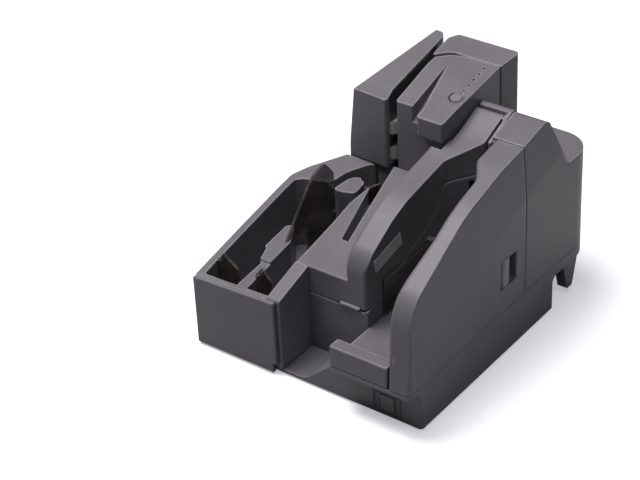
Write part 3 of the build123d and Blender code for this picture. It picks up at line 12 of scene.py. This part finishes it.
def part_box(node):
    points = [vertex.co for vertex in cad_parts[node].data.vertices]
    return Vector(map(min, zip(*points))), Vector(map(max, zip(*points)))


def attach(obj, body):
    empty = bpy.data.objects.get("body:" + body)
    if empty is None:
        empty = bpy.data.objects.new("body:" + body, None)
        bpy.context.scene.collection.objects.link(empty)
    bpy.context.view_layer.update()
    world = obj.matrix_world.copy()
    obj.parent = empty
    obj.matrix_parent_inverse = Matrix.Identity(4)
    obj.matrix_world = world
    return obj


MM = 0.001
BEVEL_SAMPLES = 6
EDGE_TURNED = 0.82                               # cosine of the turn that counts as fully on an edge
EDGE_FLAT = 0.992                                # and of the one that counts as flat
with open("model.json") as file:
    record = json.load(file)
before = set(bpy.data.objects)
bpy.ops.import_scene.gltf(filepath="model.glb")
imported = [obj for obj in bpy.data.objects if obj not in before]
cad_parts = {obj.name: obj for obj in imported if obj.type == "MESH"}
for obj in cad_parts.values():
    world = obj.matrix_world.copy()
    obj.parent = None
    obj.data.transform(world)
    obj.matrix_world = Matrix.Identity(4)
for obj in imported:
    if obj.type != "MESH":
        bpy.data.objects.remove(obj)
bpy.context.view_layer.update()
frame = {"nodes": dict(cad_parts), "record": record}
for loaded in bpy.context.selected_objects:      # the loaded nodes come selected
    loaded.select_set(False)


# ------------------------------------------------------------------ shader maths
class Wire:
    """One socket of a node tree; an expression on wires and numbers adds its Math nodes."""

    def __init__(self, tree, socket):
        self.tree = tree
        self.socket = socket

    def math(self, operation, other=None, third=None):
        node = self.tree.nodes.new("ShaderNodeMath")
        node.operation = operation
        for place, value in enumerate((self, other, third)):
            if value is not None:
                feed(self.tree, node.inputs[place], value)
        return Wire(self.tree, node.outputs[0])

    def __add__(self, other):
        return self.math("ADD", other)

    def __radd__(self, other):
        return self.math("ADD", other)

    def __sub__(self, other):
        return self.math("SUBTRACT", other)

    def __rsub__(self, other):
        return self.math("MULTIPLY_ADD", -1.0, other)

    def __mul__(self, other):
        return self.math("MULTIPLY", other)

    def __rmul__(self, other):
        return self.math("MULTIPLY", other)

    def clamped(self):
        return self.math("MAXIMUM", 0.0).math("MINIMUM", 1.0)

    def above(self, low, high):
        """0 at low, 1 at high, straight between."""
        return ((self - low) * (1.0 / (high - low))).clamped()


def feed(tree, socket, value):
    """Links a wire to a socket, or sets the socket to a plain value."""
    if isinstance(value, Wire):
        tree.links.new(value.socket, socket)
    else:
        socket.default_value = value


class Finish:
    """A material under construction, with its Principled shader."""

    def __init__(self, name):
        self.material = bpy.data.materials.new(name)
        self.material.use_nodes = True
        self.tree = self.material.node_tree
        self.shader = self.tree.nodes["Principled BSDF"]

    def node(self, kind, settings=None, output=0, **values):
        """Adds a node, sets its settings and then its sockets, whose names have _ for a space."""
        made = self.tree.nodes.new(kind)
        for key, value in (settings or {}).items():
            setattr(made, key, value)
        for key, value in values.items():
            feed(self.tree, made.inputs[key.replace("_", " ")], value)
        return Wire(self.tree, made.outputs[output])

    def place(self, stretch=(1, 1, 1)):
        """Object coordinates, stretched along the axes."""
        at = self.node("ShaderNodeTexCoord", output="Object")
        return self.node("ShaderNodeMapping", Vector=at, Scale=stretch)

    def noise(self, scale, detail=2.0, at=None):
        return self.node("ShaderNodeTexNoise", Vector=at or self.place(), Scale=scale, Detail=detail)

    def blend(self, factor, one, two):
        """Mix of two colours, each a wire or an (r, g, b) tuple."""
        made = self.tree.nodes.new("ShaderNodeMix")
        made.data_type = "RGBA"
        feed(self.tree, made.inputs[0], factor)
        for place, colour in ((6, one), (7, two)):
            feed(self.tree, made.inputs[place], colour if isinstance(colour, Wire) else (*colour, 1.0))
        return Wire(self.tree, made.outputs[2])

    def edges(self, radius):
        """Normal rounded over the edges, and a mask that is 1 on them and 0 on flat faces."""
        soft = self.node("ShaderNodeBevel", {"samples": BEVEL_SAMPLES}, Radius=radius)
        flat = self.node("ShaderNodeNewGeometry", output="Normal")
        made = self.tree.nodes.new("ShaderNodeVectorMath")
        made.operation = "DOT_PRODUCT"
        feed(self.tree, made.inputs[0], soft)
        feed(self.tree, made.inputs[1], flat)
        agree = Wire(self.tree, made.outputs["Value"])
        return soft, 1.0 - agree.above(EDGE_TURNED, EDGE_FLAT)

    def upward(self, direction):
        """Upward share of a direction."""
        return self.node("ShaderNodeSeparateXYZ", output="Z", Vector=direction)

    def set(self, **values):
        """Feeds the shader's sockets and gives the finished material."""
        for key, value in values.items():
            feed(self.tree, self.shader.inputs[key.replace("_", " ")], value)
        return self.material


def shade(colour, factor):
    return tuple(min(1.0, channel * factor) for channel in colour)


# ------------------------------------------------------------------ finishes
def moulding(name, colour, roughness=0.40, grain=0.02 * MM, radius=2.2 * MM, edge_highlight=3.2):
    """Fine-grained plastic: grain, specks, slow blotches of sheen and colour, and a painted highlight on the
    upper edges.
    """
    finish = Finish(name)
    soft, edge = finish.edges(radius)
    blotch = finish.noise(28.0, 3.0)
    fine = finish.noise(2400.0, 2.0)
    highlight_breakup = finish.noise(160.0, 4.0, at=finish.place((1.0, 1.0, 0.35)))
    speck = finish.noise(950.0, 1.0)
    upward = finish.upward(soft).above(0.0, 0.5)
    tint = finish.blend(blotch.above(0.35, 0.65), shade(colour, 0.94), shade(colour, 1.06))
    speckled = finish.blend(speck.above(0.58, 0.72) * 0.5, tint, shade(colour, 1.55))
    # painted highlight: edges that face upward are lightened as if they caught the overhead light, broken up
    # by noise
    pale_edged = finish.blend(edge * upward * (highlight_breakup.above(0.3, 0.7) * 0.3 + 0.7), speckled, shade(colour, edge_highlight))
    rough = blotch * 0.05 + fine * 0.05 - edge * 0.05 + (roughness - 0.05)
    bump = finish.node("ShaderNodeBump", Height=fine, Normal=soft, Distance=grain, Strength=1.0)
    return finish.set(Base_Color=pale_edged, Roughness=rough, Normal=bump, Specular_IOR_Level=0.3)


def smoked_sheet(name, tint, glow, see_through):
    """Smoked clear sheet: dark, glossy, brownish where light passes it, with a painted highlight along its
    cut edges.
    """
    finish = Finish(name)
    soft, edge = finish.edges(0.5 * MM)
    streak = finish.noise(34.0, 3.0, at=finish.place((1.0, 1.0, 2.2)))
    ripple = finish.noise(85.0, 3.0)
    body = finish.blend(streak.above(0.42, 0.72), tint, glow)
    # painted highlight along the cut edges
    rim = finish.blend(edge * 0.75, body, (0.62, 0.58, 0.54))
    cover = (edge * 0.3 + streak * 0.14 + (see_through - 0.07)).clamped()
    rough = ripple * 0.10 + 0.07
    bump = finish.node("ShaderNodeBump", Height=ripple, Normal=soft, Distance=0.0009, Strength=0.6)
    return finish.set(Base_Color=rim, Roughness=rough, Alpha=cover, Normal=bump, Coat_Weight=0.25)


def rubber(name, colour):
    """Ground rubber: matt, finely pitted, dusty in patches."""
    finish = Finish(name)
    soft, edge = finish.edges(0.4 * MM)
    pits = finish.noise(1900.0, 2.0)
    dust = finish.noise(90.0, 4.0)
    base = finish.blend(dust.above(0.4, 0.75) * 0.6, colour, shade(colour, 0.78))
    pale_edged = finish.blend(edge * 0.5, base, shade(colour, 1.15))
    bump = finish.node("ShaderNodeBump", Height=pits, Normal=soft, Distance=0.00003, Strength=1.0)
    return finish.set(Base_Color=pale_edged, Roughness=pits * 0.12 + dust * 0.08 + 0.52, Normal=bump)


def turned_steel(name, colour):
    """Turned and plated steel with faint rings and handling marks."""
    finish = Finish(name)
    soft, edge = finish.edges(0.25 * MM)
    rings = finish.noise(700.0, 2.0, at=finish.place((0.12, 0.12, 1.0)))
    marks = finish.noise(60.0, 4.0)
    base = finish.blend(marks.above(0.4, 0.7), shade(colour, 0.88), shade(colour, 1.08))
    bright = finish.blend(edge * 0.6, base, shade(colour, 1.35))
    rough = rings * 0.12 + marks * 0.1 + 0.2
    bump = finish.node("ShaderNodeBump", Height=rings, Normal=soft, Distance=0.00001, Strength=1.0)
    return finish.set(Base_Color=bright, Metallic=1.0, Roughness=rough, Normal=bump)


def circuit_board(name):
    """Green solder mask over copper runs, with bare pads."""
    finish = Finish(name)
    runs = finish.node("ShaderNodeTexBrick", {"offset": 0.5}, output=1, Vector=finish.place(), Scale=220.0,
                       Mortar_Size=0.03)
    cloud = finish.noise(300.0, 3.0)
    mask = finish.blend(runs * 0.7, (0.012, 0.075, 0.032), (0.03, 0.15, 0.06))
    pads = finish.noise(900.0, 1.0).above(0.68, 0.72)
    base = finish.blend(pads * 0.6, mask, (0.30, 0.27, 0.20))
    bump = finish.node("ShaderNodeBump", Height=runs, Distance=0.00004, Strength=1.0)
    return finish.set(Base_Color=base, Roughness=cloud * 0.2 + 0.2, Normal=bump)


def lamp_lens(name):
    """Unlit dark lens, glossy with a slight frost."""
    finish = Finish(name)
    soft, edge = finish.edges(0.2 * MM)
    frost = finish.noise(1500.0, 2.0)
    base = finish.blend(frost, (0.020, 0.020, 0.023), (0.035, 0.035, 0.040))
    # paler rim: a painted highlight along the lens edge
    rimmed = finish.blend(edge * 0.2, base, (0.05, 0.05, 0.055))
    return finish.set(Base_Color=rimmed, Roughness=frost * 0.1 + 0.2, Normal=soft, Coat_Weight=0.1)


def bare_plate(name, colour):
    """Blank satin plate with a faint brushed grain."""
    finish = Finish(name)
    soft, edge = finish.edges(0.3 * MM)
    brush = finish.noise(1300.0, 2.0, at=finish.place((1.0, 0.05, 1.0)))
    smear = finish.noise(110.0, 3.0)
    base = finish.blend(smear.above(0.35, 0.7), shade(colour, 0.92), shade(colour, 1.08))
    rimmed = finish.blend(edge * 0.5, base, shade(colour, 1.5))
    rough = brush * 0.1 + smear * 0.1 + 0.3
    bump = finish.node("ShaderNodeBump", Height=brush, Normal=soft, Distance=0.00001, Strength=1.0)
    return finish.set(Base_Color=rimmed, Roughness=rough, Normal=bump)


SMALL_GRAIN = 0.01 * MM
# paler than the case: a painted highlight for the light that the grip bar catches
GRIP_HIGHLIGHTED = moulding("grip_highlight_moulding", (0.30, 0.29, 0.31), roughness=0.32, grain=SMALL_GRAIN, radius=0.6 * MM)
FINISHES = {                                     # by the record's material slots
    "case": moulding("case_moulding", (0.144, 0.139, 0.152)),
    "case_inner": moulding("inner_moulding", (0.070, 0.067, 0.072), roughness=0.55, edge_highlight=1.3),
    "button": moulding("button_moulding", (0.170, 0.164, 0.176), roughness=0.38, grain=SMALL_GRAIN,
                       radius=0.5 * MM),
    "liner": moulding("dark_liner", (0.040, 0.040, 0.042), roughness=0.42, radius=0.4 * MM, edge_highlight=1.2),
    "ink": moulding("black_moulding", (0.026, 0.026, 0.028), roughness=0.3, radius=0.5 * MM),
    "smoked": smoked_sheet("smoked_sheet", (0.024, 0.020, 0.018), (0.130, 0.102, 0.081), 0.62),
    "roller_white": rubber("pale_tyre", (0.80, 0.80, 0.78)),
    "roller_dark": rubber("dark_tyre", (0.045, 0.045, 0.047)),
    "rubber": rubber("foot_rubber", (0.038, 0.038, 0.038)),
    "steel": turned_steel("turned_steel", (0.52, 0.52, 0.53)),
    "board": circuit_board("circuit_board"),
    "lens": lamp_lens("lamp_lens"),
    "plate": bare_plate("bare_plate", (0.56, 0.555, 0.57)),
}


def dress_nodes():
    """Each CAD node takes the finish of its material slot."""
    for part in frame["record"]["subparts"]:
        node = frame["nodes"][part["node"]]
        node.data.materials.clear()
        node.data.materials.append(FINISHES[part["material_slot"]])


# ------------------------------------------------------------------ modelling
FACING = 0.9                                     # least cosine for a face that looks a given way
SMOOTH_ANGLE = math.radians(35)


def start(name, radius=None, depth=None, size=None, at=(0, 0, 0), turn=(0, 0, 0), sides=48):
    """A cylinder, or a block where size is given, at its place, to be shaped in edit mode."""
    if bpy.context.selected_objects:
        bpy.ops.object.select_all(action="DESELECT")
    if size:
        bpy.ops.mesh.primitive_cube_add(size=1.0, location=at, rotation=turn)
        bpy.context.object.scale = size
    else:
        bpy.ops.mesh.primitive_cylinder_add(vertices=sides, radius=radius, depth=depth, location=at,
                                            rotation=turn)
    made = bpy.context.object
    made.name = name
    bpy.ops.object.transform_apply(location=True, rotation=True, scale=True)
    return made


def pick(piece, chosen):
    """Enters edit mode with the faces selected for which chosen(centre, normal) holds.

    The first call of all finds Blender selecting by vertex, so there a face whose corners all belong
    to chosen faces is selected too.
    """
    bpy.ops.object.mode_set(mode="OBJECT")
    mesh = piece.data
    for vertex in mesh.vertices:
        vertex.select = False
    for edge in mesh.edges:
        edge.select = False
    for face in mesh.polygons:
        face.select = bool(chosen(face.center, face.normal))
    bpy.ops.object.mode_set(mode="EDIT")
    bpy.ops.mesh.select_mode(type="FACE")


def round_edges(piece, width):
    modifier = piece.modifiers.new("rounding", "BEVEL")
    modifier.width = width
    modifier.segments = 2
    modifier.limit_method = "ANGLE"
    modifier.angle_limit = SMOOTH_ANGLE
    bpy.ops.object.modifier_apply(modifier=modifier.name)


def finished(piece, body, slot, width):
    """Leaves edit mode, rounds the edges by width, and gives the piece its finish and body."""
    bpy.ops.object.mode_set(mode="OBJECT")
    round_edges(piece, width)
    bpy.ops.object.shade_smooth_by_angle(angle=SMOOTH_ANGLE)
    piece.data.materials.clear()
    piece.data.materials.append(FINISHES[slot])
    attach(piece, body)
    piece.select_set(False)


def copy_along(piece, name, shift, body):
    """A copy with its own mesh, moved by shift within the mesh."""
    made = piece.copy()
    made.data = piece.data.copy()
    made.data.transform(Matrix.Translation(shift))
    made.name = name
    bpy.context.scene.collection.objects.link(made)
    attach(made, body)


# ------------------------------------------------------------------ tower panel
LEAN = math.atan(0.205)                          # the panel rises to the rear by this angle
PANEL_NORMAL = Vector((0, -math.sin(LEAN), math.cos(LEAN)))
PANEL_BUTTON_Y = 61.25 * MM
PANEL_LAMPS = 5
PIPE_RADIUS = 1.0 * MM
PIPE_SUNK = 0.3 * MM                             # the pipes' tops below the panel
PIPE_FOOT = 8.1 * MM                             # their feet below it


def pipe_row():
    """First and last places of the lamp row on the panel, and the panel's height over the last."""
    low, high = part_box("lamp_pipes")
    first = low[1] + PIPE_RADIUS * math.cos(LEAN) - PIPE_SUNK * math.sin(LEAN)
    last = high[1] - PIPE_RADIUS * math.cos(LEAN) - PIPE_FOOT * math.sin(LEAN)
    return first, last, high[2] - PIPE_RADIUS * math.sin(LEAN) + PIPE_SUNK * math.cos(LEAN)


def on_panel(x, y):
    """The panel's surface over a place of the plan."""
    last, height = pipe_row()[1:]
    return Vector((x, y, height + (y - last) * math.tan(LEAN)))


def button_ring():
    """Raised trim round the panel button."""
    low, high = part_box("panel_button")
    at = on_panel((low[0] + high[0]) / 2, PANEL_BUTTON_Y)
    ring = start("panel_button_ring", radius=6.1 * MM, depth=1.0 * MM, at=at - PANEL_NORMAL * 0.2 * MM,
                 turn=(LEAN, 0, 0), sides=72)
    pick(ring, lambda centre, normal: abs(normal.dot(PANEL_NORMAL)) > FACING)
    bpy.ops.mesh.inset(thickness=1.0 * MM, depth=0, use_individual=True)
    bpy.ops.mesh.bridge_edge_loops()
    finished(ring, "chassis", "button", 0.14 * MM)


def lamp_lenses():
    """Low domes over the lamps' light pipes."""
    low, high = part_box("lamp_pipes")
    first, last = pipe_row()[:2]
    pitch = (last - first) / (PANEL_LAMPS - 1)
    at = on_panel((low[0] + high[0]) / 2, first)
    dome = start("lamp_lens_1", radius=1.2 * MM, depth=0.5 * MM, at=at - PANEL_NORMAL * 0.15 * MM,
                 turn=(LEAN, 0, 0), sides=28)
    pick(dome, lambda centre, normal: normal.dot(PANEL_NORMAL) > FACING)
    bpy.ops.mesh.inset(thickness=0.35 * MM, depth=0.12 * MM)
    bpy.ops.mesh.inset(thickness=0.40 * MM, depth=0.06 * MM)
    finished(dome, "chassis", "lens", 0.05 * MM)
    for step in range(1, PANEL_LAMPS):
        shift = Vector((0, pitch * step, pitch * step * math.tan(LEAN)))
        copy_along(dome, "lamp_lens_%d" % (step + 1), shift, "chassis")


# ------------------------------------------------------------------ base
BASE_FRONT_Y = -109.35 * MM                      # the base's front wall


def power_frame():
    """Slim raised frame round the power button's recess."""
    low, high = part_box("power_button")
    middle = Vector(((low[0] + high[0]) / 2, BASE_FRONT_Y - 0.1 * MM, (low[2] + high[2]) / 2 - 0.6 * MM))
    trim = start("power_button_frame", size=(23.6 * MM, 0.9 * MM, 16.8 * MM), at=middle)
    pick(trim, lambda centre, normal: abs(normal.y) > FACING)
    bpy.ops.mesh.inset(thickness=1.0 * MM, depth=0, use_individual=True)
    bpy.ops.mesh.bridge_edge_loops()
    finished(trim, "chassis", "case", 0.2 * MM)


def inlet_contacts():
    """Three contacts side by side in the power inlet."""
    low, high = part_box("power_port")
    pitch = 1.8 * MM
    at = ((low[0] + high[0]) / 2 - pitch, high[1] - 3.0 * MM, (low[2] + high[2]) / 2)
    pin = start("power_contact_1", radius=0.6 * MM, depth=5.5 * MM, sides=20, at=at,
                turn=(math.radians(90), 0, 0))
    pick(pin, lambda centre, normal: normal.y > FACING)
    bpy.ops.mesh.inset(thickness=0.2 * MM, depth=0.3 * MM)
    finished(pin, "chassis", "steel", 0.08 * MM)
    for step in (1, 2):
        copy_along(pin, "power_contact_%d" % (step + 1), Vector((pitch * step, 0, 0)), "chassis")


# ------------------------------------------------------------------ feeder cover and its seam
HOUSING_FACE_Y = 22.65 * MM                      # the rear housing's front face


def grip_bar():
    """Barrel-shaped bar that the fingers pull, in the cover's grip."""
    middle = Vector((91.4, -1.9, 68.8)) * MM
    flattening = 0.62                            # of the bar's thickness across the cover
    bar = start("cover_grip_bar", radius=7.0 * MM, depth=22.6 * MM, at=middle, sides=64)
    pick(bar, lambda centre, normal: abs(normal.z) > FACING)
    bpy.ops.mesh.inset(thickness=1.2 * MM, depth=0.5 * MM, use_individual=True)
    pick(bar, lambda centre, normal: True)
    bpy.ops.transform.resize(value=(flattening, 1.0, 1.0), center_override=middle)
    finished(bar, "feeder_cover", "button", 0.5 * MM)
    # the bar takes the paler finish, a painted highlight
    bar.data.materials[0] = GRIP_HIGHLIGHTED


def seam_lip():
    """Slim lip of the rear housing behind the feeder cover's rear edge; it shuts the seam to light."""
    cover_low, cover_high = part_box("feeder_cover")
    tray_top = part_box("feeder_tray")[1][2]
    top = cover_high[2] - 1.6 * MM
    height = top - tray_top - 0.3 * MM
    middle = Vector((cover_low[0] - 0.9 * MM, cover_high[1] - 0.1 * MM, top - height / 2))
    lip = start("housing_seam_lip", size=(1.0 * MM, 2.6 * MM, height), at=middle)
    pick(lip, lambda centre, normal: normal.z > FACING)
    bpy.ops.mesh.inset(thickness=0.3 * MM, depth=0.3 * MM)
    finished(lip, "chassis", "case", 0.12 * MM)


def seam_shade_strip():
    """Thin dark strip on the rear housing's front face, painted shade that blackens the seam; it narrows over
    its shoulder as the housing does.
    """
    left, right = 68.6 * MM, 95.2 * MM
    shoulder, top = 115.0 * MM, 156.2 * MM
    narrowing = 0.905                            # of the width, from the shoulder to the top
    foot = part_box("rear_housing")[0][2] + 0.5 * MM
    shade_strip = start("housing_seam_shade_strip", size=(right - left, 0.45 * MM, shoulder - foot),
                   at=((left + right) / 2, HOUSING_FACE_Y - 0.15 * MM, (shoulder + foot) / 2))
    pick(shade_strip, lambda centre, normal: normal.z > FACING)
    bpy.ops.mesh.extrude_region_move(TRANSFORM_OT_translate={"value": (0, 0, top - shoulder)})
    bpy.ops.transform.resize(value=(narrowing, 1, 1), center_override=(left, HOUSING_FACE_Y, top))
    finished(shade_strip, "chassis", "liner", 0.1 * MM)


# ------------------------------------------------------------------ studio
def studio():
    """Dim cool surroundings, seen as plain white."""
    world = bpy.data.worlds.new("studio")
    bpy.context.scene.world = world
    world.use_nodes = True
    tree = world.node_tree
    ground = tree.nodes["Background"]
    ground.inputs["Color"].default_value = (0.80, 0.81, 0.83, 1)
    ground.inputs["Strength"].default_value = 0.07
    seen = tree.nodes.new("ShaderNodeBackground")
    seen.inputs["Color"].default_value = (1, 1, 1, 1)
    path = tree.nodes.new("ShaderNodeLightPath")
    mix = tree.nodes.new("ShaderNodeMixShader")
    tree.links.new(path.outputs["Is Camera Ray"], mix.inputs[0])
    tree.links.new(ground.outputs[0], mix.inputs[1])
    tree.links.new(seen.outputs[0], mix.inputs[2])
    tree.links.new(mix.outputs[0], tree.nodes["World Output"].inputs["Surface"])


def lamp(name, place, target, size, power, colour):
    """Rectangular soft lamp at a place, turned to a target."""
    data = bpy.data.lights.new(name, "AREA")
    data.shape = "RECTANGLE"
    data.size, data.size_y = size
    data.energy = power
    data.color = colour
    made = bpy.data.objects.new(name, data)
    bpy.context.scene.collection.objects.link(made)
    made.location = place
    made.rotation_euler = (Vector(target) - Vector(place)).to_track_quat("-Z", "Y").to_euler()


def floor():
    """Floor that the camera and mirrors see as white paper; other light finds it dark and is soaked up."""
    bpy.ops.mesh.primitive_plane_add(size=6.0, location=(0, 0, -0.2 * MM))
    made = bpy.context.object
    made.name = "floor"
    finish = Finish("pale_floor")
    cloud = finish.noise(3.0, 2.0)
    eye = finish.node("ShaderNodeLightPath", output="Is Camera Ray")
    seen = eye.math("MAXIMUM", finish.node("ShaderNodeLightPath", output="Is Glossy Ray"))
    paper = finish.blend(cloud, (0.93, 0.93, 0.93), (0.96, 0.96, 0.96))
    base = finish.blend(seen, (0.16, 0.16, 0.17), paper)
    glow = finish.blend(eye, (0, 0, 0), (0.42, 0.42, 0.44))
    finish.set(Base_Color=base, Roughness=0.9, Emission_Color=glow, Emission_Strength=1.0)
    made.data.materials.append(finish.material)


def camera():
    """Long lens, looking down on the front right corner with a slight roll."""
    azimuth, elevation, roll = math.radians(38.0), math.radians(33.53), math.radians(-2.86)
    focal_pixels, frame_pixels = 2000.0, 640.0
    forward = Vector((-math.sin(azimuth) * math.cos(elevation), math.cos(azimuth) * math.cos(elevation),
                      -math.sin(elevation)))
    right = Vector((math.cos(azimuth), math.sin(azimuth), 0))
    turned = Matrix.Rotation(-roll, 3, forward)
    right = turned @ right
    up = right.cross(forward)
    data = bpy.data.cameras.new("camera")
    data.sensor_width = 36.0
    data.lens = data.sensor_width * focal_pixels / frame_pixels
    data.clip_end = 20.0
    made = bpy.data.objects.new("camera", data)
    bpy.context.scene.collection.objects.link(made)
    place = Matrix.Translation(Vector((696.5, -979.35, 859.2)) * MM)
    made.matrix_world = place @ Matrix((right, up, -forward)).transposed().to_4x4()
    bpy.context.scene.camera = made


bpy.context.scene.view_settings.view_transform = "Standard"
dress_nodes()
button_ring()
lamp_lenses()
power_frame()
grip_bar()
seam_lip()
seam_shade_strip()
inlet_contacts()
studio()
floor()
camera()
lamp("overhead", (-0.34, -0.15, 1.5), (-0.02, 0.02, 0.1), (0.8, 0.8), 27, (1.0, 0.955, 0.975))
lamp("front_fill", (-0.3, -2.0, 0.6), (0, 0, 0.08), (1.4, 1.0), 0.3, (0.86, 0.91, 1.0))
lamp("right_fill", (1.5, -0.1, 0.40), (-0.03, 0, 0.08), (0.9, 0.6), 1.0, (0.84, 0.90, 1.0))
lamp("valley_light", (0.66, -0.40, 1.40), (0.02, -0.02, 0.08), (0.4, 0.4), 3.0, (0.90, 0.94, 1.0))
